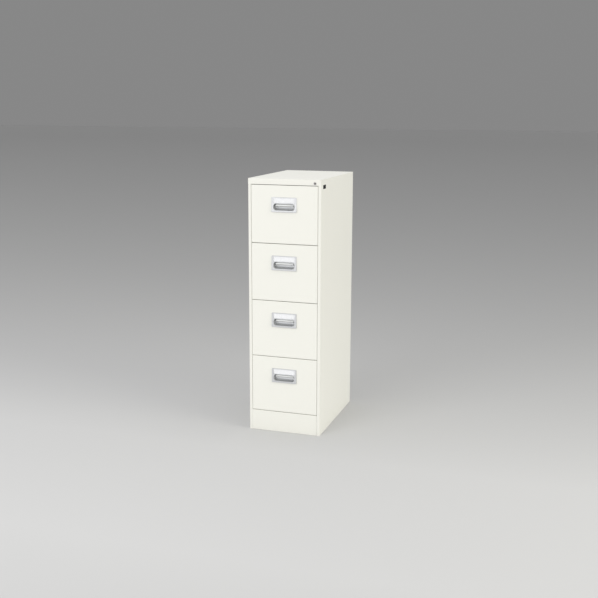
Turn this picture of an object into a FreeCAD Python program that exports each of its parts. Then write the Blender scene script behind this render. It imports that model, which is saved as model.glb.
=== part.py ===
import FreeCAD, Part
import math
import os

# A vertical filing cabinet with four drawers on telescopic slides, in millimetres.
# +X is the viewer's right, -Y is the front and +Z is up. The origin is on the floor, in the middle of
# the whole object. The parts are drawn with y = 0 on the front face and moved back when they are saved.

# Outside of the cabinet
width = 387.0
depth = 620.0
height = 1335.0
drawer_count = 4
stile_width = 15.0
rail_height = 29.0
kick_height = 109.0
front_gap = 3.0
side_gap = 1.5

# Sheet steel
sheet = 1.0
bend = 1.0
seat_gap = 0.3
return_depth = 24.0
flange = 18.0

# Drawer fronts and trays
front_depth = 28.0
tray_rear_gap = 32.0
tray_lift = 14.0
tray_drop = 45.0
tray_rear_height = 150.0
tray_flange = 4.0
track_width = 44.0
track_height = 3.0
tab_size = 12.0
tab_reach = 8.0
tab_lift = 120.0
tab_setback = 93.0

# Telescopic slides
slide_rear_gap = 22.0
slide_setback = 38.0
slide_height = 45.0
slide_thickness = 12.7
slide_steel = 1.2
slide_play = 0.4
slide_lip = 2.0
slide_lift = 46.0

# Posts, rails and buffers inside the carcass
post_setback = 40.0
post_depth = 36.0
post_top_drop = 55.0
cross_rail_half = 12.0
cross_rail_depth = 20.0
cross_rail_setback = 31.3
pan_drop = 8.0
pan_flange = 20.0
buffer_size = 8.0
buffer_inset = 58.5

# Handle casting
handle_drop = 97.0
handle_width = 135.0
handle_height = 75.0
handle_corner = 2.5
handle_top_proud = 3.0
handle_proud = 7.0
handle_edge = 1.2
card_width = 116.0
card_height = 25.0
card_lift = 20.5
card_play = 0.8
card_thickness = 0.4
window_thickness = 1.0
card_seat = 1.2
pocket_width = 114.0
pocket_top = 6.0
pocket_bottom = -29.0
pocket_corner = 15.0
pocket_depth = 24.0
pocket_wall = 1.5
pocket_roof = 24.0
lip_thickness = 2.0
scoop_start = -13.0
scoop_front = -1.0
scoop_rise = 0.25
handle_fit = 0.5

# Latch
latch_lift = 18.5
latch_setback = 13.0
latch_shaft_radius = 3.0
shaft_clearance = 0.05
lever_width = 104.0
lever_thickness = 2.0
lever_bead = 2.5
lever_bottom = 5.5
hook_inset = 8.5
hook_thickness = 4.0
hook_half = 4.0
hook_reach = 30.0
hook_nose = 7.0
hook_nose_depth = 3.5
strike_gap = 0.6
strike_play = 1.5
strike_thickness = 2.0
strike_height = 20.0
lug_inset = 21.5
lug_thickness = 2.0
lug_half = 6.0
spring_wire = 1.2
spring_radius = 4.3
spring_turns = 3
spring_steps = 10
spring_gap = 6.5

# Lock
lock_inset = 31.5
lock_drop = 18.5
lock_head_radius = 10.0
lock_head_proud = 1.5
lock_barrel_radius = 8.5
lock_barrel_length = 28.0
lock_plug_radius = 6.0
lock_tail_half = 2.5
lock_tail_length = 5.5
keyway_width = 1.8
keyway_height = 8.0
keyway_depth = 4.0
clip_width = 24.0
clip_height = 18.0
crank_radius = 8.5
crank_pin_radius = 2.0
crank_pin_length = 5.0
crank_plate = 2.0
crank_slot_play = 0.5
bar_thickness = 2.0
bar_width = 16.0
bar_setback = 86.0
bar_foot_drop = 4.0
finger_height = 12.0
finger_reach = 8.0
finger_gap = 3.0
guide_height = 14.0
guide_wall = 1.5

# Divider plate
divider_rear_gap = 68.0
divider_play = 1.5
divider_drop = 23.0
divider_corner = 30.0
divider_lip = 12.0
divider_foot = 46.0

# Plug in the right side
plug_setback = 36.0
plug_length = 48.0
plug_height = 20.0
plug_drop = 38.0
plug_corner = 2.0
plug_play = 0.2
plug_border = 3.0

# Feet
foot_side_inset = 45.5
foot_inset = 55.0
foot_pad_radius = 16.0
foot_pad_height = 6.0
foot_stem_radius = 4.0
foot_stem_height = 62.0
bracket_height = 40.0
bracket_length = 60.0
bracket_wall = 2.0
nut_radius = 7.5
nut_height = 6.5

# Pressed beads in the back panel
bead_width = 16.0
bead_depth = 3.0
bead_margin = 110.0

# Worked out from the sizes above
half_width = width / 2
inner_half = half_width - stile_width
mount_half = inner_half - sheet
drawer_pitch = (height - rail_height - kick_height - front_gap) / drawer_count
front_height = drawer_pitch - front_gap
front_half = inner_half - side_gap
tray_half = mount_half - slide_thickness
front_y = handle_proud - (depth + handle_proud) / 2
rail_bottom = height - rail_height
floor_pan_z = kick_height - pan_drop
slide_length = depth - slide_setback - slide_rear_gap
tray_length = depth - front_depth - tray_rear_gap
tray_height = front_height - tray_lift - tray_drop
divider_setback = front_depth + tray_length - divider_rear_gap
divider_height = tray_height - sheet - track_height - 2 * seat_gap - divider_drop
buffer_x = inner_half - buffer_inset
hook_x = mount_half - hook_inset
lug_x = mount_half - lug_inset
foot_x = half_width - foot_side_inset
lock_x = half_width - lock_inset
lock_z = height - lock_drop
back_y = depth - 2 * sheet


def flat_xy(a, b, c):
    return FreeCAD.Vector(a, b, c)


def flat_xz(a, b, c):
    return FreeCAD.Vector(a, c, b)


def flat_yz(a, b, c):
    return FreeCAD.Vector(c, a, b)


def unit(p, q):
    length = math.hypot(q[0] - p[0], q[1] - p[1])
    return ((q[0] - p[0]) / length, (q[1] - p[1]) / length)


def outline(corners, plane, level):
    """A closed wire through corners (a, b, radius), with an arc at each corner that has a radius."""
    count = len(corners)
    stops = []
    for i, (a, b, radius) in enumerate(corners):
        before = unit((a, b), corners[i - 1])
        after = unit((a, b), corners[(i + 1) % count])
        if radius <= 0:
            stops.append([(a, b)])
            continue
        dot = max(-1.0, min(1.0, before[0] * after[0] + before[1] * after[1]))
        half = math.acos(dot) / 2
        reach = radius / math.tan(half)
        middle = (before[0] + after[0], before[1] + after[1])
        size = math.hypot(*middle)
        inset = radius / math.sin(half) - radius
        crown = (a + middle[0] / size * inset, b + middle[1] / size * inset)
        stops.append([(a + before[0] * reach, b + before[1] * reach), crown,
                      (a + after[0] * reach, b + after[1] * reach)])
    edges = []
    for i, stop in enumerate(stops):
        if len(stop) == 3:
            edges.append(Part.Arc(*[plane(a, b, level) for a, b in stop]).toShape())
        start = plane(*stop[-1], level)
        end = plane(*stops[(i + 1) % count][0], level)
        if start.distanceToPoint(end) > 1e-6:
            edges.append(Part.LineSegment(start, end).toShape())
    return Part.Wire(Part.__sortEdges__(edges))


def prism(corners, plane, low, high):
    """The outline's face, pushed from low to high along the plane's normal."""
    face = Part.Face(outline(corners, plane, low))
    return face.extrude(plane(0, 0, high) - plane(0, 0, low))


def fold(path, plane, low, high, thickness=sheet, inner=bend):
    """Sheet folded along a path of its outer face, with the material on the left of the path.

    With no inner radius the folds are drawn sharp, which is enough for a section that stays hidden.
    """
    near = []
    far = []
    last = len(path) - 1
    for i, point in enumerate(path):
        d0 = unit(path[i - 1], point) if i > 0 else unit(point, path[1])
        d1 = unit(point, path[i + 1]) if i < last else d0
        turn = d0[0] * d1[1] - d0[1] * d1[0]
        n0 = (-d0[1], d0[0])
        n1 = (-d1[1], d1[0])
        scale = thickness / (1 + n0[0] * n1[0] + n0[1] * n1[1])
        shifted = (point[0] + (n0[0] + n1[0]) * scale, point[1] + (n0[1] + n1[1]) * scale)
        if i in (0, last) or abs(turn) < 1e-9 or inner is None:
            radii = (0, 0)
        elif turn > 0:
            radii = (inner + thickness, inner)
        else:
            radii = (inner, inner + thickness)
        near.append((point[0], point[1], radii[0]))
        far.append((shifted[0], shifted[1], radii[1]))
    return prism(near + far[::-1], plane, low, high)


def block(x0, x1, y0, y1, z0, z1):
    return Part.makeBox(x1 - x0, y1 - y0, z1 - z0, FreeCAD.Vector(x0, y0, z0))


def rounded(w, h, radius, x, z, y0, y1):
    """A plate in the front plane, centred on x and z, with round corners."""
    corners = [(x + i * w / 2, z + k * h / 2, radius) for i, k in ((-1, -1), (1, -1), (1, 1), (-1, 1))]
    return prism(corners, flat_xz, y0, y1)


def rod_x(radius, x0, x1, y, z):
    return Part.makeCylinder(radius, x1 - x0, FreeCAD.Vector(x0, y, z), FreeCAD.Vector(1, 0, 0))


def rod_y(radius, x, y0, y1, z):
    return Part.makeCylinder(radius, y1 - y0, FreeCAD.Vector(x, y0, z), FreeCAD.Vector(0, 1, 0))


def rod_z(radius, x, y, z0, z1):
    return Part.makeCylinder(radius, z1 - z0, FreeCAD.Vector(x, y, z0), FreeCAD.Vector(0, 0, 1))


def join(first, *others):
    return first.multiFuse(list(others)).removeSplitter()


def mirrored(shape):
    return shape.mirror(FreeCAD.Vector(0, 0, 0), FreeCAD.Vector(1, 0, 0))


def both_sides(shape):
    return [shape, mirrored(shape)]


def save(name, *shapes):
    """Write the solids of one node, moved from the front face's frame to the object's own."""
    solids = [solid for shape in shapes for solid in shape.Solids]
    group = solids[0].copy() if len(solids) == 1 else Part.makeCompound(solids)
    group.translate(FreeCAD.Vector(0, front_y, 0))
    if not group.isValid():
        raise ValueError(name + " is not valid")
    group.exportStep("parts/" + name + ".step")


def drawer_base(number):
    """Lower edge of a drawer front. Drawer 1 is the top one."""
    return kick_height + front_gap + (drawer_count - number) * drawer_pitch


def side_panel():
    """Left side, folded into the stile in front and a flange behind, with flanges at foot and head."""
    path = [(-half_width + flange, depth), (-half_width, depth), (-half_width, 0),
            (-inner_half, 0), (-inner_half, return_depth)]
    skin = fold(path, flat_xy, 0, height - sheet)
    skin = skin.cut(block(-half_width, -half_width + sheet, -sheet, sheet, rail_bottom, height))
    skin = skin.cut(block(-half_width + sheet, 0, -sheet, return_depth + sheet, rail_bottom, height))
    skin_x = -half_width + sheet
    foot = block(skin_x, skin_x + flange, return_depth, back_y, 0, sheet)
    head = block(skin_x, skin_x + flange, return_depth, back_y, height - 2 * sheet, height - sheet)
    return join(skin, foot, head)


def plug_centre():
    return (plug_setback + plug_length / 2, height - plug_drop)


def plug_outline(grow, corner):
    y, z = plug_centre()
    half_length = plug_length / 2 + grow
    half_height = plug_height / 2 + grow
    corners = [(-1, -1), (1, -1), (1, 1), (-1, 1)]
    return [(y + i * half_length, z + k * half_height, corner) for i, k in corners]


def make_sides():
    left = side_panel()
    right = mirrored(left)
    slot = prism(plug_outline(0, plug_corner), flat_yz, half_width - 2 * sheet, half_width + sheet)
    save("left_side_panel", left)
    save("right_side_panel", right.cut(slot))


def make_side_plug():
    """Moulded blank in the slot of the right side: a face in the slot and a border behind the skin."""
    face_outline = plug_outline(-plug_play, plug_corner - plug_play)
    face = prism(face_outline, flat_yz, half_width - sheet, half_width - plug_play)
    border = prism(plug_outline(plug_border, 0), flat_yz, half_width - 3 * sheet, half_width - sheet)
    hollow = prism(plug_outline(-plug_border, 0), flat_yz, half_width - 4 * sheet, half_width - 1.8 * sheet)
    save("side_plug", join(face, border).cut(hollow))


def make_top():
    """Top sheet folded down into the front rail, with the lock's hole in the rail."""
    path = [(depth, height), (0, height), (0, rail_bottom)]
    skin = fold(path, flat_yz, -half_width, half_width)
    lip_half = inner_half - seat_gap
    lip = block(-lip_half, lip_half, 0, rail_height / 2, rail_bottom, rail_bottom + sheet)
    hole = rod_y(lock_barrel_radius, lock_x, -sheet, 2 * sheet, lock_z)
    save("top_panel", join(skin, lip).cut(hole))


def make_back():
    """Flat rear sheet inside the side flanges, stiffened by two pressed beads."""
    edge = half_width - sheet - bend
    panel = block(-edge, edge, back_y, back_y + sheet, 2 * sheet, height - sheet)
    half = bead_width / 2
    for x in (-bead_margin, bead_margin):
        low = bead_margin
        high = height - bead_margin
        ridge = block(x - half, x + half, back_y - bead_depth, back_y, low, high)
        groove = block(x - half + sheet, x + half - sheet, back_y - bead_depth + sheet, back_y + sheet,
                       low + sheet, high - sheet)
        panel = join(panel, ridge).cut(groove)
    save("back_panel", panel)


def make_kick_plate():
    path = [(cross_rail_setback, kick_height), (0, kick_height), (0, 0), (flange, 0)]
    plate_half = inner_half - seat_gap
    save("kick_plate", fold(path, flat_yz, -plate_half, plate_half))


def make_floor_pan():
    """Bottom sheet with a stop flange standing up in front and flanges down the sides."""
    edge = half_width - sheet
    stop_top = drawer_base(drawer_count) - front_gap / 2 + cross_rail_half
    path = [(cross_rail_setback, stop_top), (cross_rail_setback, floor_pan_z), (back_y, floor_pan_z)]
    pan = fold(path, flat_yz, -mount_half, mount_half)
    wings = []
    for side in (-1, 1):
        inner_x = min(side * mount_half, side * edge)
        outer_x = max(side * mount_half, side * edge)
        wall_x = min(side * edge, side * (edge - sheet))
        wings.append(block(inner_x, outer_x, post_setback, back_y, floor_pan_z, floor_pan_z + sheet))
        wings.append(block(wall_x, wall_x + sheet, post_setback, back_y, floor_pan_z - pan_flange,
                           floor_pan_z + sheet))
    save("floor_pan", join(pan, *wings))


def make_posts():
    """Four hat-section uprights welded to the side skins, which carry the slides."""
    posts = []
    top = height - post_top_drop
    skin_x = half_width - sheet
    for y in (post_setback, slide_setback + slide_length - post_depth):
        path = [(skin_x, y), (mount_half, y), (mount_half, y + post_depth), (skin_x, y + post_depth)]
        post = fold(path[::-1], flat_xy, floor_pan_z + sheet, top, sheet, None)
        posts += both_sides(post)
    save("slide_posts", *posts)


def make_cross_rails():
    """Channels between the front posts, behind the joint of two drawers."""
    rails = []
    for number in range(1, drawer_count):
        z = drawer_base(number) - front_gap / 2
        y = cross_rail_setback
        path = [(y + cross_rail_depth, z + cross_rail_half), (y, z + cross_rail_half),
                (y, z - cross_rail_half), (y + cross_rail_depth, z - cross_rail_half)]
        rails.append(fold(path, flat_yz, -mount_half, mount_half, sheet, None))
    save("cross_rails", *rails)


def make_buffers():
    """Rubber pads on the cross rails and the floor pan, where the drawer fronts come to rest."""
    pads = []
    rest = front_depth + seat_gap
    for number in range(1, drawer_count + 1):
        z = drawer_base(number) + sheet
        for x in (-buffer_x, buffer_x):
            pads.append(block(x - buffer_size / 2, x + buffer_size / 2, rest, cross_rail_setback, z,
                              z + buffer_size))
    save("drawer_buffers", *pads)


def slide_section(points, number, length_start, length_end):
    """A slide member on the right side: points are (inset from the post, height above the slide)."""
    z = drawer_base(number) + slide_lift
    corners = [(mount_half - inset, z + rise, 0) for inset, rise in points]
    return prism(corners, flat_xz, length_start, length_end)


def channel_points(web, half, deep, lip):
    """Section of a C with its web on the post's side and its lips turned in."""
    t = slide_steel
    top = [(web, half), (deep, half), (deep, half - t - lip), (deep - t, half - t - lip),
           (deep - t, half - t), (web + t, half - t)]
    return top + [(inset, -rise) for inset, rise in reversed(top)]


def hat_points(brim, half, neck, deep):
    """Section of a hat with its brim inside the middle member and its crown on the tray."""
    t = slide_steel
    top = [(deep, neck), (brim + t, neck), (brim + t, half), (brim, half), (brim, neck - t),
           (deep - t, neck - t)]
    return top + [(inset, -rise) for inset, rise in reversed(top)]


outer_half = slide_height / 2
outer_deep = slide_thickness - slide_steel - slide_play
middle_web = slide_steel + slide_play
middle_half = outer_half - slide_steel - slide_play
middle_deep = outer_deep - slide_steel - slide_play
inner_web = middle_web + slide_steel + slide_play
inner_member_half = middle_half - slide_steel - slide_play
inner_neck = inner_member_half - slide_lip - 2 * slide_play


def make_cabinet_slides():
    slides = []
    section = channel_points(0, outer_half, outer_deep, slide_lip)
    for number in range(1, drawer_count + 1):
        member = slide_section(section, number, slide_setback, slide_setback + slide_length)
        slides += both_sides(member)
    save("cabinet_slides", *slides)


def make_middle_slides(number):
    section = channel_points(middle_web, middle_half, middle_deep, slide_lip)
    member = slide_section(section, number, slide_setback, slide_setback + slide_length)
    save("middle_slides_%d" % number, *both_sides(member))


def make_drawer_slides(number):
    section = hat_points(inner_web, inner_member_half, inner_neck, slide_thickness)
    member = slide_section(section, number, slide_setback, slide_setback + slide_length)
    save("drawer_slides_%d" % number, *both_sides(member))


def handle_centre(number):
    return drawer_base(number) + front_height - handle_drop


def scoop_outline(grow):
    """Section of the pocket in y and z: lip, roof, back wall and the round scoop of its floor."""
    deep = pocket_depth + grow
    low = pocket_bottom - pocket_wall * 0.6 - grow
    radius = ((deep - scoop_front) ** 2 + (scoop_start - low) ** 2) / (2 * (deep - scoop_front))
    centre = (deep - radius, scoop_start)
    angle = math.atan2(low - centre[1], scoop_front - centre[0])
    middle = angle / 2
    crown = (centre[0] + radius * math.cos(middle), centre[1] + radius * math.sin(middle))
    return deep, low, crown


def pocket_section(grow, front, x0, x1):
    deep, low, crown = scoop_outline(grow)
    roof = pocket_roof + grow
    rise = scoop_rise * (crown[1] - low) / (crown[0] - scoop_front)
    top = [(front, roof), (deep, roof), (deep, scoop_start)]
    front_low = (front, low + (scoop_front - front) * rise)
    points = [flat_yz(a, b, x0) for a, b in top]
    edges = [Part.LineSegment(points[0], points[1]).toShape(),
             Part.LineSegment(points[1], points[2]).toShape(),
             Part.Arc(points[2], flat_yz(*crown, x0), flat_yz(scoop_front, low, x0)).toShape(),
             Part.LineSegment(flat_yz(scoop_front, low, x0), flat_yz(*front_low, x0)).toShape(),
             Part.LineSegment(flat_yz(*front_low, x0), points[0]).toShape()]
    return Part.Face(Part.Wire(edges)).extrude(FreeCAD.Vector(x1 - x0, 0, 0))


def handle_casting():
    """Bezel that leans out towards its foot, with a card recess and a finger pocket behind it.

    The pocket has round ends, runs up behind the lip and has a scooped floor. Its walls carry the
    latch shaft. The handle is drawn about its own centre.
    """
    low = -handle_height / 2
    high = handle_height / 2
    wedge = prism([(0, low, 0), (0, high, 0), (-handle_top_proud, high, 0), (-handle_proud, low, 0)],
                  flat_yz, -handle_width / 2, handle_width / 2)
    corners = [edge for edge in wedge.Edges
               if edge.BoundBox.XLength < handle_corner and edge.BoundBox.ZLength < handle_corner]
    bezel = wedge.makeChamfer(handle_corner, corners)
    rim = [edge for edge in bezel.Edges if edge.BoundBox.YMax < -handle_top_proud / 2]
    bezel = bezel.makeChamfer(handle_edge, rim)

    tall = pocket_top - pocket_bottom
    middle = (pocket_top + pocket_bottom) / 2
    half = pocket_width / 2
    wall = pocket_wall
    corner = pocket_corner
    shell = block(-half - wall, half + wall, 0, pocket_depth + wall, pocket_bottom - 2 * wall,
                  pocket_roof + wall)
    outside = shell.common(pocket_section(wall, -wall, -half - wall, half + wall))
    mouth = rounded(pocket_width, tall, corner, 0, middle, -2 * handle_proud, pocket_depth)
    loft = block(-half, half, lip_thickness, pocket_depth, middle, pocket_roof)
    cavity = join(mouth, loft).common(pocket_section(0, -2 * handle_proud, -half, half))

    recess_half = (card_width / 2 + card_play, card_height / 2 + card_play)
    recess = block(-recess_half[0], recess_half[0], -2 * handle_proud, -card_seat,
                   card_lift - recess_half[1], card_lift + recess_half[1])
    bore = rod_x(latch_shaft_radius + shaft_clearance, -half - 2 * wall, half + 2 * wall, latch_setback,
                 latch_lift)
    return join(bezel, outside).cut(cavity).cut(recess).cut(bore)


def latch_spring():
    """Torsion spring wound round the latch shaft, with its leg on the inner panel."""
    pitch = spring_wire * 1.25
    steps = spring_turns * spring_steps
    points = []
    for i in range(steps + 1):
        angle = 2 * math.pi * i / spring_steps
        points.append(FreeCAD.Vector(spring_radius * math.cos(angle), spring_radius * math.sin(angle),
                                     pitch * i / spring_steps))
    leg_length = front_depth - sheet - latch_setback - seat_gap / 3
    points.append(FreeCAD.Vector(spring_radius, leg_length, pitch * spring_turns))
    along = (points[1] - points[0]).normalize()
    outward = (FreeCAD.Vector(1, 0, 0) - along * along.x).normalize()
    sideways = along.cross(outward)
    ring = []
    for i in range(4):
        angle = 2 * math.pi * (i + 0.5) / 4
        ring.append(points[0] + outward * (spring_wire / 2 * math.cos(angle))
                    + sideways * (spring_wire / 2 * math.sin(angle)))
    spring = Part.makePolygon(points).makePipeShell([Part.makePolygon(ring + ring[:1])], True, True, 1)
    spring.rotate(FreeCAD.Vector(0, 0, 0), FreeCAD.Vector(0, 1, 0), 90)
    spring_x = pocket_width / 2 + pocket_wall + spring_gap
    spring.translate(FreeCAD.Vector(spring_x, latch_setback, latch_lift))
    return spring


def latch():
    """Lever blade in the pocket, its shaft along the front, and the hook at the shaft's right end."""
    y = latch_setback
    z = latch_lift
    half = lever_width / 2
    shaft_start = -pocket_width / 2 - pocket_wall
    shaft = rod_x(latch_shaft_radius, shaft_start, hook_x + hook_thickness / 2, y, z)
    blade = block(-half, half, y - lever_thickness / 2, y + lever_thickness / 2, lever_bottom, z)
    bead = rod_x(lever_bead, -half, half, y, lever_bottom)
    rear = y + hook_reach
    hook = prism([(y - hook_half, z - hook_half, 0), (rear, z - hook_half, 0),
                  (rear, z + hook_half + hook_nose - hook_nose_depth, 0),
                  (rear - hook_nose_depth, z + hook_half + hook_nose, 0),
                  (rear - hook_nose_depth, z + hook_half, 0), (y - hook_half, z + hook_half, 0)],
                 flat_yz, hook_x - hook_thickness / 2, hook_x + hook_thickness / 2)
    return join(shaft, blade, bead, hook)


def make_handle(number):
    centre = FreeCAD.Vector(0, 0, handle_centre(number))
    for name, shape in (("handle", handle), ("latch", latch_piece), ("latch_spring", spring_piece)):
        piece = shape.copy()
        piece.translate(centre)
        save("%s_%d" % (name, number), piece)
    z = handle_centre(number) + card_lift
    card_back = -card_seat
    window_back = card_back - card_thickness
    size = (card_width / 2, card_height / 2)
    card = block(-size[0], size[0], window_back, card_back, z - size[1], z + size[1])
    window = block(-size[0], size[0], window_back - window_thickness, window_back, z - size[1], z + size[1])
    save("label_card_%d" % number, card)
    save("label_window_%d" % number, window)


def make_drawer_front(number):
    """Pan with round front edges, open behind, with a cut-out for the handle's pocket."""
    z = drawer_base(number)
    pan = block(-front_half, front_half, 0, front_depth, z, z + front_height)
    rim = [edge for edge in pan.Edges if edge.BoundBox.YMax < sheet]
    pan = pan.makeFillet(sheet + bend, rim)
    inside = block(-front_half + sheet, front_half - sheet, sheet, front_depth + sheet, z + sheet,
                   z + front_height - sheet)
    cut_half = pocket_width / 2 + pocket_wall + handle_fit
    centre = handle_centre(number)
    cut_top = centre + pocket_roof + pocket_wall + handle_fit
    cut_low = centre + scoop_outline(pocket_wall)[2][1] - handle_fit
    cut_low = min(cut_low, centre + pocket_bottom - 2 * pocket_wall - handle_fit)
    cut = block(-cut_half, cut_half, -sheet, 2 * sheet, cut_low, cut_top)
    save("drawer_front_%d" % number, pan.cut(inside).cut(cut))


def make_tray(number):
    """Floor, side walls with out-turned rims and rear wall welded to the inner front panel.

    A track for the divider runs along the floor, and the lock tab stands out on the right.
    """
    z = drawer_base(number)
    low = z + tray_lift
    top = low + tray_height
    end = front_depth + tray_length
    inside = tray_half - sheet
    floor = block(-inside, inside, front_depth, end - sheet, low, low + sheet)
    wall_path = [(tray_half, low), (tray_half, top - sheet), (tray_half + tray_flange, top - sheet)]
    walls = both_sides(fold(wall_path, flat_xz, front_depth, end - sheet, sheet, None))
    panel_half = front_half - sheet
    panel = block(-panel_half, panel_half, front_depth - sheet, front_depth, z + sheet,
                  z + front_height - sheet)
    rear_top = low + tray_rear_height
    rear_path = [(end - divider_lip, rear_top), (end, rear_top), (end, low)]
    rear = fold(rear_path[::-1], flat_yz, -inside, inside, sheet, None)
    floor_top = low + sheet
    tracks = [block(x, x + sheet, front_depth, end - sheet, floor_top, floor_top + track_height)
              for x in (-track_width / 2 - sheet, track_width / 2)]
    axis_z = handle_centre(number) + latch_lift
    slot = block(hook_x - hook_thickness, hook_x + hook_thickness, front_depth - 2 * sheet,
                 front_depth + sheet, axis_z - 3 * hook_half, axis_z + hook_half + sheet)
    lug = block(lug_x - lug_thickness / 2, lug_x + lug_thickness / 2, latch_setback - lug_half,
                front_depth - sheet, axis_z - lug_half, axis_z + lug_half)
    bore = rod_x(latch_shaft_radius + shaft_clearance, lug_x - lug_thickness, lug_x + lug_thickness,
                 latch_setback, axis_z)
    tab = fold([(tray_half, tab_setback), (tray_half + tab_reach, tab_setback)], flat_xy,
               z + tab_lift, z + tab_lift + tab_size, 2 * sheet)
    save("drawer_tray_%d" % number, floor, panel.cut(slot), rear, lug.cut(bore), tab, *walls, *tracks)


def make_divider(number):
    """Upright plate that stands in the tray's track and slides along it."""
    low = drawer_base(number) + tray_lift + sheet + seat_gap
    half = tray_half - sheet - divider_play
    base = low + track_height + seat_gap
    y = divider_setback
    plate = prism([(-half, base, 0), (half, base, 0), (half, base + divider_height, divider_corner),
                   (-half, base + divider_height, divider_corner)], flat_xz, y, y + sheet)
    lip_half = half - divider_corner
    lip = block(-lip_half, lip_half, y, y + divider_lip, base + divider_height - sheet,
                base + divider_height)
    shoe_half = track_width / 2 - seat_gap
    foot = block(-shoe_half, shoe_half, y, y + divider_foot, low, low + sheet)
    web = block(-shoe_half, shoe_half, y, y + sheet, low, base + sheet)
    save("divider_%d" % number, join(plate, lip, foot, web))


def make_strikes():
    """Angles on the right front post, behind whose lower edges the hooks catch."""
    strikes = []
    rear = latch_setback + hook_reach - hook_nose_depth - strike_play
    for number in range(1, drawer_count + 1):
        z = handle_centre(number) + latch_lift + hook_half + strike_gap
        front = rear - strike_thickness
        inner_x = hook_x - hook_thickness
        plate = block(inner_x, mount_half, front, rear, z, z + strike_height)
        foot = block(mount_half - strike_thickness, mount_half, front, post_setback + post_depth / 2, z,
                     z + strike_height)
        strikes.append(join(plate, foot))
    save("latch_strikes", *strikes)


def make_lock():
    """Barrel through the rail, its clip, the plug with its keyway, and the cam with its crank pin."""
    head = rod_y(lock_head_radius, lock_x, -lock_head_proud, 0, lock_z)
    barrel = join(head, rod_y(lock_barrel_radius, lock_x, 0, lock_barrel_length, lock_z))
    bore = rod_y(lock_plug_radius + shaft_clearance, lock_x, -2 * lock_head_proud,
                 lock_barrel_length + sheet, lock_z)
    save("lock_barrel", barrel.cut(bore))
    clip = block(lock_x - clip_width / 2, lock_x + clip_width / 2, sheet, 2 * sheet,
                 lock_z - clip_height / 2, lock_z + clip_height / 2)
    gap = block(lock_x - lock_barrel_radius, lock_x + lock_barrel_radius, 0, 3 * sheet,
                lock_z - lock_barrel_radius, lock_z + clip_height)
    save("lock_clip", clip.cut(gap))

    tail_end = lock_barrel_length + lock_tail_length
    body = rod_y(lock_plug_radius, lock_x, -lock_head_proud, lock_barrel_length + seat_gap, lock_z)
    tail = block(lock_x - lock_tail_half, lock_x + lock_tail_half, lock_barrel_length, tail_end,
                 lock_z - lock_tail_half, lock_z + lock_tail_half)
    keyway = block(lock_x - keyway_width / 2, lock_x + keyway_width / 2, -2 * lock_head_proud, keyway_depth,
                   lock_z - keyway_height / 2, lock_z + keyway_height / 2)
    save("lock_plug", join(body, tail).cut(keyway))

    cam_y = lock_barrel_length + lock_tail_length - crank_plate - seat_gap
    side = crank_radius / math.sqrt(2)
    pin_end = cam_y + crank_plate + crank_pin_length
    crank_half = lock_tail_half + crank_pin_radius
    arm = block(-crank_half, crank_radius + crank_half, cam_y, cam_y + crank_plate, -crank_half, crank_half)
    arm.rotate(FreeCAD.Vector(0, 0, 0), FreeCAD.Vector(0, 1, 0), 135)
    arm.translate(FreeCAD.Vector(lock_x, 0, lock_z))
    pin = rod_y(crank_pin_radius, lock_x - side, cam_y, pin_end, lock_z - side)
    save("lock_cam", join(arm, pin).cut(tail))


def bar_line():
    """Plane of the lock bar: outside the slides' mounting face, against the side."""
    return mount_half + seat_gap


def make_lock_bar():
    """Flat bar behind the front post, with a finger welded on for each drawer and an arm to the crank."""
    x0 = bar_line()
    x1 = x0 + bar_thickness
    y0 = bar_setback
    y1 = y0 + bar_width
    side = crank_radius / math.sqrt(2)
    pin_z = lock_z - side
    arm_low = pin_z - 2 * crank_pin_radius - bar_thickness
    arm_high = pin_z + 2 * crank_pin_radius + bar_thickness
    lowest = drawer_base(drawer_count) + tab_lift - bar_foot_drop - 2 * finger_height
    parts = [block(x0, x1, y0, y1, lowest, arm_high)]
    finger_y = tab_setback - finger_gap - bar_thickness
    for number in range(1, drawer_count + 1):
        top = drawer_base(number) + tab_lift - sheet
        parts.append(block(x0 - finger_reach, x0, finger_y, finger_y + bar_thickness,
                           top - finger_height, top))
    arm_x = x0 - 2 * bar_thickness
    tab_y = lock_barrel_length + lock_tail_length + seat_gap
    parts.append(block(arm_x, arm_x + bar_thickness, tab_y, y1, arm_low, arm_high))
    parts.append(block(arm_x + bar_thickness, x0, y0, y1, arm_low, arm_low + bar_thickness))
    slot_low = lock_x - crank_radius - crank_pin_radius - crank_slot_play
    slot_high = lock_x - side + crank_pin_radius + crank_slot_play
    tab = block(slot_low - 2 * bar_thickness, arm_x, tab_y, tab_y + bar_thickness, arm_low, arm_high)
    slot_half = crank_pin_radius + crank_slot_play
    slot = rounded(slot_high - slot_low, 2 * slot_half, slot_half - 0.1, (slot_low + slot_high) / 2,
                   pin_z, tab_y - sheet, tab_y + 2 * bar_thickness)
    save("lock_bar", *parts, tab.cut(slot))


def make_bar_guides():
    """Clips on the side skin that hold the lock bar upright and let it rise."""
    guides = []
    x0 = bar_line() - seat_gap / 2
    x1 = bar_line() + bar_thickness + seat_gap
    y0 = bar_setback - seat_gap
    y1 = bar_setback + bar_width + seat_gap
    skin_x = half_width - sheet
    for number in range(1, drawer_count):
        z = drawer_base(number) + tab_lift + 3 * finger_height
        outside = block(x0 - guide_wall, skin_x, y0 - guide_wall, y1 + guide_wall, z, z + guide_height)
        hole = block(x0, x1, y0, y1, z - sheet, z + guide_height + sheet)
        guides.append(outside.cut(hole))
    save("lock_bar_guides", *guides)


def foot_places():
    return [(x, y) for x in (-foot_x, foot_x) for y in (foot_inset, depth - foot_inset)]


def hexagon(radius, x, y):
    """Corners of a six-sided outline about a point on the floor plan."""
    turns = [math.radians(60 * i) for i in range(6)]
    return [(x + radius * math.cos(turn), y + radius * math.sin(turn), 0) for turn in turns]


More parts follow.
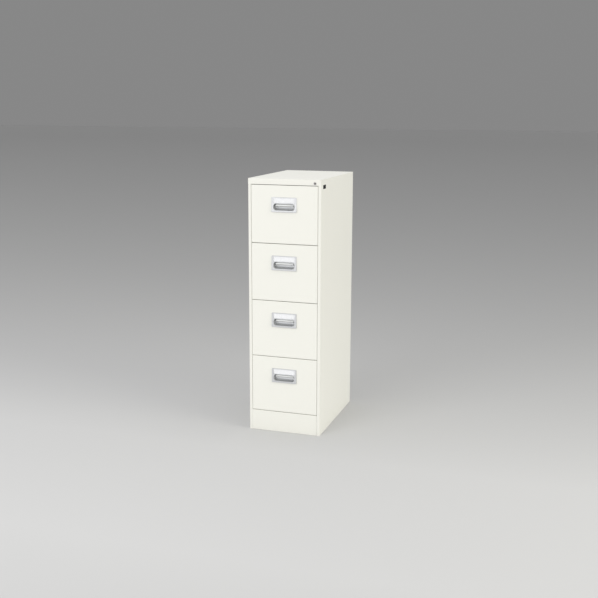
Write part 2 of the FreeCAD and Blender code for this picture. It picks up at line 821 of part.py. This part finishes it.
def make_feet():
    """Corner brackets with a welded nut, and the levelling screws that run in them."""
    brackets = []
    feet = []
    skin_x = half_width - sheet
    for x, y in foot_places():
        side = 1 if x > 0 else -1
        z = bracket_height
        y0 = y - bracket_length / 2
        path = [(foot_x - bracket_length / 2, z), (skin_x, z), (skin_x, z + bracket_length / 2)]
        angle = fold(path, flat_xz, y0, y0 + bracket_length, bracket_wall, None)
        nut = prism(hexagon(nut_radius, foot_x, y), flat_xy, z + bracket_wall,
                    z + bracket_wall + nut_height)
        hole = rod_z(foot_stem_radius, foot_x, y, 0, height)
        bracket = join(angle, nut).cut(hole)
        brackets.append(bracket if side > 0 else mirrored(bracket))
        pad = prism(hexagon(foot_pad_radius, x, y), flat_xy, 0, foot_pad_height)
        stem = rod_z(foot_stem_radius, x, y, 0, foot_stem_height)
        feet.append(join(pad, stem))
    save("foot_brackets", *brackets)
    save("levelling_feet", *feet)


os.makedirs("parts", exist_ok=True)
handle = handle_casting()
latch_piece = latch()
spring_piece = latch_spring()
make_sides()
make_side_plug()
make_top()
make_back()
make_kick_plate()
make_floor_pan()
make_posts()
make_cross_rails()
make_buffers()
make_cabinet_slides()
make_strikes()
make_lock()
make_lock_bar()
make_bar_guides()
make_feet()
for drawer in range(1, drawer_count + 1):
    make_drawer_front(drawer)
    make_tray(drawer)
    make_handle(drawer)
    make_drawer_slides(drawer)
    make_middle_slides(drawer)
    make_divider(drawer)
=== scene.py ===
import math

import bpy
from mathutils import Euler, Matrix, Vector


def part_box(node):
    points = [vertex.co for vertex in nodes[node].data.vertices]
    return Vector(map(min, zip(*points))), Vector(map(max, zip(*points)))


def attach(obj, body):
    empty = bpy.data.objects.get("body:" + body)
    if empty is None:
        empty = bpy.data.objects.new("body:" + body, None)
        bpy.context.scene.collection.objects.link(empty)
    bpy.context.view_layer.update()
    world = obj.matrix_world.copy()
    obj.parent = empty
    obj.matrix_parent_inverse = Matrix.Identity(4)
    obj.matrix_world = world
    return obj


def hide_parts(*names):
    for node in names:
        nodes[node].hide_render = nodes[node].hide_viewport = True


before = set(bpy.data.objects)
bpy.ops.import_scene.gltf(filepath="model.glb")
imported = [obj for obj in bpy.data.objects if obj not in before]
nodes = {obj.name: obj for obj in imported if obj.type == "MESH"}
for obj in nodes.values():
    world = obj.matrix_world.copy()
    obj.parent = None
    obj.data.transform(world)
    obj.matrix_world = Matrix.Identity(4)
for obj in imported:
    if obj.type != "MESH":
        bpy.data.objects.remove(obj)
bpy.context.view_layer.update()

# A white steel filing cabinet with four drawers. Lengths are in metres, in the frame of the CAD model:
# +X is the viewer's right, -Y is the front and +Z is up, with the origin on the floor under the middle.
scene = bpy.context.scene


# Shell: side panels, top with its front rail, back and kick plate, folded from 1 mm sheet steel and
# welded together. It is powder coated a warm white, which leaves a fine orange peel, and dust gathers
# on it near the floor.
SHELL_WHITE = (0.88, 0.875, 0.815, 1)
PEEL_DEPTH = 0.0002
DUST_HEIGHT = 0.09
DUST_SHARE = 0.22
TINT_SHARE = 0.04


def surface_group(name, inputs):
    """A shader group with these inputs, and with colour, roughness and normal as its outputs."""
    group = bpy.data.node_groups.new(name, "ShaderNodeTree")
    for title, kind, default in inputs:
        socket = group.interface.new_socket(title, in_out="INPUT", socket_type=kind)
        socket.default_value = default
    for title, kind in (("Colour", "NodeSocketColor"), ("Roughness", "NodeSocketFloat"),
                        ("Normal", "NodeSocketVector")):
        group.interface.new_socket(title, in_out="OUTPUT", socket_type=kind)
    return group, group.nodes.new("NodeGroupInput").outputs


def close_group(group, colour, roughness, normal):
    """Link what a surface group has worked out to its three outputs."""
    leave = group.nodes.new("NodeGroupOutput").inputs
    for title, value in (("Colour", colour), ("Roughness", roughness), ("Normal", normal)):
        group.links.new(value, leave[title])
    return group


def add(tree, kind, settings=None, inputs=None):
    """A node with attributes set, and each input given a value or linked from a socket."""
    node = tree.nodes.new(kind)
    for key, value in (settings or {}).items():
        setattr(node, key, value)
    for key, value in (inputs or {}).items():
        if isinstance(value, bpy.types.NodeSocket):
            tree.links.new(value, node.inputs[key])
        else:
            node.inputs[key].default_value = value
    return node


def place_on_piece(tree):
    """Where a point is on its piece, which moves with the piece."""
    return add(tree, "ShaderNodeTexCoord").outputs["Object"]


def math_node(tree, operation, a, b=0.0, clamp=False):
    settings = {"operation": operation, "use_clamp": clamp}
    return add(tree, "ShaderNodeMath", settings, {0: a, 1: b}).outputs[0]


def noise(tree, vector, scale, detail=2.0, roughness=0.5):
    inputs = {"Vector": vector, "Scale": scale, "Detail": detail, "Roughness": roughness}
    return add(tree, "ShaderNodeTexNoise", {}, inputs).outputs["Fac"]


def mix_colour(tree, factor, a, b, blend="MIX"):
    """Two colours mixed. The mix node keeps its colour sockets at 6 and 7, and its colour result at 2."""
    settings = {"data_type": "RGBA", "blend_type": blend}
    return add(tree, "ShaderNodeMix", settings, {0: factor, 6: a, 7: b}).outputs[2]


def vary(tree, base, cloud, amount):
    """A value raised by up to the amount where the cloud is bright."""
    return math_node(tree, "ADD", base, math_node(tree, "MULTIPLY", cloud, amount))


def bump_from(tree, height, strength, distance):
    inputs = {"Strength": strength, "Distance": distance, "Height": height}
    return add(tree, "ShaderNodeBump", {}, inputs).outputs["Normal"]


def powder_coat_group():
    """Powder coat: a fine orange peel, a slow change of tint, and dust that gathers near the floor."""
    group, given = surface_group(
        "powder_coat",
        [("Colour", "NodeSocketColor", (0.9, 0.9, 0.85, 1)),
         ("Dust", "NodeSocketColor", (0.6, 0.58, 0.52, 1)),
         ("Peel", "NodeSocketFloat", 0.1),
         ("Roughness", "NodeSocketFloat", 0.4)])
    where = place_on_piece(group)
    slow = noise(group, where, scale=2.3)
    cloud = noise(group, where, scale=14.0, detail=3.0)
    fine = noise(group, where, scale=750.0)
    height = add(group, "ShaderNodeSeparateXYZ", {}, {0: where}).outputs["Z"]
    low = math_node(group, "SUBTRACT", 1.0, math_node(group, "DIVIDE", height, DUST_HEIGHT), True)
    grime = math_node(group, "MULTIPLY", math_node(group, "POWER", low, 2.0), cloud)
    grime = math_node(group, "MULTIPLY", grime, DUST_SHARE)
    tint = math_node(group, "MULTIPLY", slow, TINT_SHARE)
    tinted = mix_colour(group, tint, given["Colour"], given["Dust"])
    return close_group(group,
                       mix_colour(group, grime, tinted, given["Dust"]),
                       vary(group, given["Roughness"], cloud, 0.08),
                       bump_from(group, fine, given["Peel"], PEEL_DEPTH))


POWDER_COAT = powder_coat_group()


def start_material(name):
    material = bpy.data.materials.new(name)
    material.use_nodes = True
    tree = material.node_tree
    tree.nodes.clear()
    shader = tree.nodes.new("ShaderNodeBsdfPrincipled")
    output = tree.nodes.new("ShaderNodeOutputMaterial")
    tree.links.new(shader.outputs["BSDF"], output.inputs["Surface"])
    return material, tree, shader


def surface_material(name, group, inputs):
    """A material whose colour, roughness and normal come from a surface group."""
    material, tree, shader = start_material(name)
    surface = add(tree, "ShaderNodeGroup", {"node_tree": group}, inputs)
    for title, socket in (("Colour", "Base Color"), ("Roughness", "Roughness"), ("Normal", "Normal")):
        tree.links.new(surface.outputs[title], shader.inputs[socket])
    return material, shader


def coated(name, colour, roughness=0.4, peel=0.3):
    inputs = {"Colour": colour, "Peel": peel, "Roughness": roughness}
    material, shader = surface_material(name, POWDER_COAT, inputs)
    shader.inputs["Specular IOR Level"].default_value = 0.4
    return material


def give_finish(material, *names):
    """Put a material on pieces of the CAD model."""
    for name in names:
        mesh = nodes[name].data
        mesh.materials.clear()
        mesh.materials.append(material)


shell_paint = coated("carcass_coat", SHELL_WHITE)
give_finish(shell_paint, "left_side_panel", "right_side_panel", "top_panel", "back_panel", "kick_plate")


# Inner frame: floor pan, slide posts, cross rails, foot brackets, latch strikes and the guides of the
# lock bar. They are pressed from sheet steel and welded in before coating, and the coat is duller and
# smoother there.
INNER_WHITE = (0.8, 0.795, 0.745, 1)
inner_paint = coated("inner_coat", INNER_WHITE, roughness=0.5, peel=0.18)
give_finish(inner_paint, "floor_pan", "slide_posts", "cross_rails", "foot_brackets", "latch_strikes",
            "lock_bar_guides")


# Levelling feet: steel screws with a six-sided foot, which run in nuts on the foot brackets. They are
# zinc plated, with fine lines on them and cloudy marks in their gloss.
ZINC = (0.66, 0.68, 0.7, 1)
LINE_DEPTH = 0.0001
TARNISH = (0.72, 0.72, 0.74, 1)
TARNISH_SHARE = 0.25


def metal_group():
    """Bare or plated metal: fine lines along one axis, and cloudy marks that change the gloss."""
    group, given = surface_group(
        "metal_surface",
        [("Colour", "NodeSocketColor", (0.7, 0.7, 0.7, 1)),
         ("Stretch", "NodeSocketVector", (1, 1, 1)),
         ("Lines", "NodeSocketFloat", 0.1),
         ("Roughness", "NodeSocketFloat", 0.3)])
    where = place_on_piece(group)
    drawn = add(group, "ShaderNodeVectorMath", {"operation": "MULTIPLY"},
                {0: where, 1: given["Stretch"]}).outputs[0]
    lines = noise(group, drawn, scale=600.0, detail=3.0, roughness=0.6)
    cloud = noise(group, where, scale=38.0, detail=4.0, roughness=0.6)
    shade = math_node(group, "MULTIPLY", cloud, TARNISH_SHARE)
    dark = mix_colour(group, 1.0, given["Colour"], TARNISH, "MULTIPLY")
    return close_group(group,
                       mix_colour(group, shade, given["Colour"], dark),
                       vary(group, given["Roughness"], cloud, 0.12),
                       bump_from(group, lines, given["Lines"], LINE_DEPTH))


METAL_SURFACE = metal_group()


def metal(name, colour, roughness, stretch=(1, 1, 1), lines=0.1, metallic=1.0):
    inputs = {"Colour": colour, "Stretch": stretch, "Lines": lines, "Roughness": roughness}
    material, shader = surface_material(name, METAL_SURFACE, inputs)
    shader.inputs["Metallic"].default_value = metallic
    return material


zinc_plate = metal("zinc_plate", ZINC, roughness=0.3, stretch=(0.05, 1, 1), lines=0.12)
give_finish(zinc_plate, "levelling_feet")


# Drawer slides: three nested members on each side of a drawer, one on the posts, one on the tray and one
# between them. They are rolled from galvanised strip, so fine lines run along them.
DRAWERS = (1, 2, 3, 4)    # from the top down
STRIP = (0.7, 0.71, 0.74, 1)
rolled_strip = metal("rolled_zinc", STRIP, roughness=0.26, stretch=(1, 0.02, 1), lines=0.15)
give_finish(rolled_strip, "cabinet_slides")
for n in DRAWERS:
    give_finish(rolled_strip, "drawer_slides_%d" % n, "middle_slides_%d" % n)


# Buffers: eight small pads behind the drawer fronts, which the closed drawers rest against. They are
# moulded in black rubber, which is dull and has a fine grain.
RUBBER_BLACK = (0.02, 0.02, 0.02, 1)
GRAIN_DEPTH = 0.0002
CLOUD_SHADE = (0.93, 0.93, 0.93, 1)


def moulded_group():
    """Moulded plastic, rubber or card: a fine grain, and faint clouds a little darker than the rest."""
    group, given = surface_group(
        "moulded_surface",
        [("Colour", "NodeSocketColor", (0.5, 0.5, 0.5, 1)),
         ("Grain", "NodeSocketFloat", 0.2),
         ("Grain Scale", "NodeSocketFloat", 900.0),
         ("Roughness", "NodeSocketFloat", 0.5)])
    where = place_on_piece(group)
    cloud = noise(group, where, scale=45.0, detail=3.0)
    deep = mix_colour(group, 1.0, given["Colour"], CLOUD_SHADE, "MULTIPLY")
    fine = noise(group, where, scale=given["Grain Scale"])
    return close_group(group,
                       mix_colour(group, cloud, deep, given["Colour"]),
                       vary(group, given["Roughness"], cloud, 0.1),
                       bump_from(group, fine, given["Grain"], GRAIN_DEPTH))


MOULDED_SURFACE = moulded_group()


def moulded(name, colour, roughness, grain=0.2, grain_scale=900.0, gloss=0.5):
    inputs = {"Colour": colour, "Grain": grain, "Grain Scale": grain_scale, "Roughness": roughness}
    material, shader = surface_material(name, MOULDED_SURFACE, inputs)
    shader.inputs["Specular IOR Level"].default_value = gloss
    return material


black_rubber = moulded("black_rubber", RUBBER_BLACK, roughness=0.7, grain=0.4)
give_finish(black_rubber, "drawer_buffers")


# Lock: a nickel plated barrel in the top rail with a key plug coloured dark, held by a clip; the plug's
# dark colour is painted shade and painted reflection on the lock's face. Behind it a cam lifts the bar
# whose fingers block the drawers, and clip, cam and bar are zinc plated like the feet.
NICKEL = (0.76, 0.745, 0.71, 1)
LOCK_PAINTED_SHADE = (0.2, 0.195, 0.185, 1)
give_finish(metal("nickel", NICKEL, roughness=0.24, lines=0.04), "lock_barrel")
# The key plug's dark colour is painted shade and painted reflection on the lock's face
give_finish(metal("plug_painted_shade", LOCK_PAINTED_SHADE, roughness=0.3, lines=0.04), "lock_plug")
give_finish(zinc_plate, "lock_clip", "lock_cam", "lock_bar")


# Side plug: a blank moulded in black plastic, pressed into a slot high on the right side. A moulding has
# no sharp edge, so each of its edges is rounded a little.
PLUG_BLACK = (0.009, 0.009, 0.01, 1)
PLUG_ROUND = 0.0005
WELD_REACH = 0.000002    # joins the corners of the facets, so that the rounding finds whole edges
SHARP_ANGLE = math.radians(38)    # edges that bend less than this stay as they are
ROUND_STEPS = 2


def soften(piece, radius):
    weld = piece.modifiers.new("weld", "WELD")
    weld.merge_threshold = WELD_REACH
    rounding = piece.modifiers.new("soften", "BEVEL")
    rounding.width = radius
    rounding.segments = ROUND_STEPS
    rounding.limit_method = "ANGLE"
    rounding.angle_limit = SHARP_ANGLE


give_finish(moulded("black_plastic", PLUG_BLACK, roughness=0.42, gloss=0.06), "side_plug")
soften(nodes["side_plug"], PLUG_ROUND)


# Drawers: a folded front a shade lighter than the shell, a tray of sheet steel welded behind it, and a
# grey divider plate that slides along the tray. All three are powder coated.
DRAWER_WHITE = (0.89, 0.885, 0.825, 1)
DIVIDER_GREY = (0.55, 0.55, 0.53, 1)
drawer_paint = coated("drawer_coat", DRAWER_WHITE)
divider_paint = coated("divider_coat", DIVIDER_GREY, roughness=0.5, peel=0.15)
for n in DRAWERS:
    give_finish(drawer_paint, "drawer_front_%d" % n)
    give_finish(inner_paint, "drawer_tray_%d" % n)
    give_finish(divider_paint, "divider_%d" % n)


# Handles: silver coloured die castings, each set in the opening of its drawer front, with a card recess
# above a finger pocket. The edges of a casting are a little round.
HANDLE_SILVER = (0.655, 0.665, 0.675, 1)
HANDLE_ROUND = 0.00045
CAST = {"roughness": 0.38, "stretch": (0.06, 1, 1), "lines": 0.08}
silver_casting = metal("silver_casting", HANDLE_SILVER, metallic=0.55, **CAST)
for n in DRAWERS:
    give_finish(silver_casting, "handle_%d" % n)
    soften(nodes["handle_%d" % n], HANDLE_ROUND)


# Labels: a blank white card in the recess of each handle, behind a thin clear plastic window with broken
# edges. The window stands a hair off the card, because one that touches its card renders dark.
CARD_WHITE = (0.97, 0.975, 0.99, 1)
WINDOW_TINT = (0.97, 0.98, 1.0, 1)
WINDOW_GAP = 0.0001
WINDOW_ROUND = 0.0003


def finish_piece(piece, name, material, body):
    """Name, place in the mesh, material and the body that the piece rides on."""
    piece.name = name
    piece.data.name = name
    piece.data.transform(piece.matrix_basis)
    piece.matrix_basis = Matrix.Identity(4)
    piece.data.materials.clear()
    piece.data.materials.append(material)
    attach(piece, body)


card_board = moulded("card", CARD_WHITE, roughness=0.75, grain=0.15, grain_scale=1600.0)
clear_window, tree, shader = start_material("clear_window")
haze = noise(tree, place_on_piece(tree), scale=60.0, detail=3.0)
shader.inputs["Base Color"].default_value = WINDOW_TINT
tree.links.new(vary(tree, 0.08, haze, 0.12), shader.inputs["Roughness"])
tree.links.new(vary(tree, 0.1, haze, 0.04), shader.inputs["Alpha"])
for n in DRAWERS:
    give_finish(card_board, "label_card_%d" % n)
    low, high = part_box("label_window_%d" % n)
    high = (high[0], high[1] - WINDOW_GAP, high[2])
    middle = [(a + b) / 2 for a, b in zip(low, high)]
    size = [b - a for a, b in zip(low, high)]
    bpy.ops.object.select_all(action="DESELECT")
    bpy.ops.mesh.primitive_cube_add(size=1, location=middle, scale=size)
    window = bpy.context.object
    bpy.ops.object.transform_apply(location=False, rotation=False, scale=True)
    rounding = window.modifiers.new("round", "BEVEL")
    rounding.width = WINDOW_ROUND
    rounding.segments = ROUND_STEPS
    bpy.ops.object.modifier_apply(modifier=rounding.name)
    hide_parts("label_window_%d" % n)
    finish_piece(window, "lens_%d" % n, clear_window, "drawer_%d" % n)


# Latches: a bright cast lever in each finger pocket, on a shaft with a hook at its end, and a spring wound
# from steel wire. The lever is a copy of the CAD one with its thin bead grown into the grip bar that the
# photograph shows. Depths are behind the drawer front, and lifts are above the handle's middle.
WIRE = (0.42, 0.43, 0.45, 1)
LEVER_SILVER = (0.84, 0.85, 0.84, 1)
LEVER_ROUND = 0.0003
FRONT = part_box("drawer_front_1")[0][1]    # outer face of the drawer fronts
BEAD_DEEP = 0.013
BEAD_LIFT = 0.0055
BEAD_REACH = 0.005    # points less than this above the bead's middle belong to it
GRIP_DEEP = 0.0105
GRIP_LIFT = -0.0045
GRIP_GROWTH = 2.4
GRIP_SPAN = 0.92    # keeps the bar's ends clear of the round corners of the pocket
spring_wire = metal("spring_wire", WIRE, roughness=0.3, lines=0.05)
lever_casting = metal("lever_casting", LEVER_SILVER, metallic=0.45, **CAST)
for n in DRAWERS:
    give_finish(spring_wire, "latch_spring_%d" % n)
    handle_low, handle_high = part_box("handle_%d" % n)
    centre = (handle_low[2] + handle_high[2]) / 2
    lever = bpy.data.objects.new("lever", nodes["latch_%d" % n].data.copy())
    scene.collection.objects.link(lever)
    for vertex in lever.data.vertices:
        deep = vertex.co.y - FRONT - BEAD_DEEP
        lift = vertex.co.z - centre - BEAD_LIFT
        if lift < BEAD_REACH:
            vertex.co.x *= GRIP_SPAN
            vertex.co.y = FRONT + GRIP_DEEP + deep * GRIP_GROWTH
            vertex.co.z = centre + GRIP_LIFT + lift * GRIP_GROWTH
    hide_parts("latch_%d" % n)
    finish_piece(lever, "lever_%d" % n, lever_casting, "latch_%d" % n)
    soften(lever, LEVER_ROUND)


# Floor: one wide sheet of matt paper with a painted pool of light on it, palest in front of the cabinet
# and fading to the backdrop's grey far off, a painted fall-off of light. Each offset sets where the
# painted pool ends on one side, and to the right the painted light fades the fastest.
FLOOR_WIDTH = 120.0
PAINTED_POOL = 4.3
BEHIND = 4.9
BEFORE = 2.6
ASIDE = 1.9
RIGHT = 0.14
RIGHT_SLOPE = 2.6
FAR, MIDDLE, NEAR = 0.1, 0.5, 1.0
BACKDROP_GREY = 0.244
MIDDLE_GREY = 0.4
NEAR_GREY = 0.61


def grey(value):
    return value, value, value, 1


bpy.ops.object.select_all(action="DESELECT")
bpy.ops.mesh.primitive_plane_add(size=FLOOR_WIDTH)
floor = bpy.context.object
floor.name = "floor"
floor.data.name = "floor"
floor_painted_light, tree, shader = start_material("floor_painted_light")
floor_place = add(tree, "ShaderNodeSeparateXYZ", {}, {0: place_on_piece(tree)}).outputs
behind = math_node(tree, "ADD", floor_place["Y"], BEHIND)
before = math_node(tree, "SUBTRACT", BEFORE, floor_place["Y"])
aside = math_node(tree, "ADD", math_node(tree, "ABSOLUTE", floor_place["X"]), ASIDE)
right = math_node(tree, "ADD", math_node(tree, "MULTIPLY", floor_place["X"], RIGHT_SLOPE), RIGHT)
reach = math_node(tree, "MAXIMUM", math_node(tree, "MAXIMUM", behind, before),
                  math_node(tree, "MAXIMUM", aside, right))
# The floor's colour is painted light: pale where light pools in front of the cabinet, darker far off and
# fastest to the right
near = math_node(tree, "DIVIDE", PAINTED_POOL, reach, True)
ramp = add(tree, "ShaderNodeValToRGB", {}, {"Fac": near})
stops = ramp.color_ramp.elements
stops[0].position = FAR
stops[0].color = grey(BACKDROP_GREY)
stops[1].position = NEAR
stops[1].color = grey(NEAR_GREY)
stops.new(MIDDLE).color = grey(MIDDLE_GREY)
tree.links.new(ramp.outputs["Color"], shader.inputs["Base Color"])
shader.inputs["Roughness"].default_value = 0.9
shader.inputs["Specular IOR Level"].default_value = 0.1
floor.data.materials.append(floor_painted_light)


# Light: a bright even room, in whose place the camera sees the grey backdrop, a large soft light at the
# front left above, and a warm one further off at the right
ROOM_LIGHT = 0.85
world = bpy.data.worlds.new("room")
scene.world = world
world.use_nodes = True
tree = world.node_tree
tree.nodes.clear()
path = add(tree, "ShaderNodeLightPath").outputs
seen = math_node(tree, "MAXIMUM", path["Is Camera Ray"], path["Is Transmission Ray"])
room = add(tree, "ShaderNodeBackground", {}, {"Color": grey(1.0), "Strength": ROOM_LIGHT})
backdrop = add(tree, "ShaderNodeBackground", {}, {"Color": grey(BACKDROP_GREY), "Strength": 1.0})
mixed = add(tree, "ShaderNodeMixShader", {}, {0: seen, 1: room.outputs[0], 2: backdrop.outputs[0]})
add(tree, "ShaderNodeOutputWorld", {}, {"Surface": mixed.outputs[0]})


def soft_light(name, place, target, size, power, colour=(1, 1, 1)):
    """A rectangular light at a place, turned towards a target."""
    light = bpy.data.lights.new(name, "AREA")
    light.shape = "RECTANGLE"
    light.size, light.size_y = size
    light.energy = power
    light.color = colour
    lamp = bpy.data.objects.new(name, light)
    scene.collection.objects.link(lamp)
    lamp.location = place
    lamp.rotation_mode = "QUATERNION"
    lamp.rotation_quaternion = (Vector(target) - Vector(place)).to_track_quat("-Z", "Y")


soft_light("key", place=(-1.8, -4.6, 2.5), target=(0, -0.3, 0.75), size=(3.2, 2.4), power=75)
soft_light("fill", place=(5.4, -1.6, 2.3), target=(0.19, 0, 0.7), size=(3.0, 2.5), power=96,
           colour=(1.0, 0.98, 0.86))


# Camera: at the photograph's viewing angle, with no shift. The angles are in degrees: how far it looks
# down, how far it is turned to the left, and its roll.
CAMERA_PLACE = (1.5085, -4.4145 + FRONT, 1.7014)
CAMERA_DOWN = 11.861
CAMERA_LEFT = 17.933
CAMERA_ROLL = 0.165
FOCAL_LENGTH = 55.8
SENSOR_WIDTH = 36.0
optics = bpy.data.cameras.new("camera")
optics.lens = FOCAL_LENGTH
optics.sensor_width = SENSOR_WIDTH
optics.clip_end = 200.0
camera = bpy.data.objects.new("camera", optics)
scene.collection.objects.link(camera)
turn = Euler((math.radians(90 - CAMERA_DOWN), 0, math.radians(CAMERA_LEFT))).to_matrix()
turn = turn @ Matrix.Rotation(math.radians(CAMERA_ROLL), 3, "Z")
camera.location = CAMERA_PLACE
camera.rotation_mode = "QUATERNION"
camera.rotation_quaternion = turn.to_quaternion()
scene.camera = camera
scene.view_settings.view_transform = "Standard"
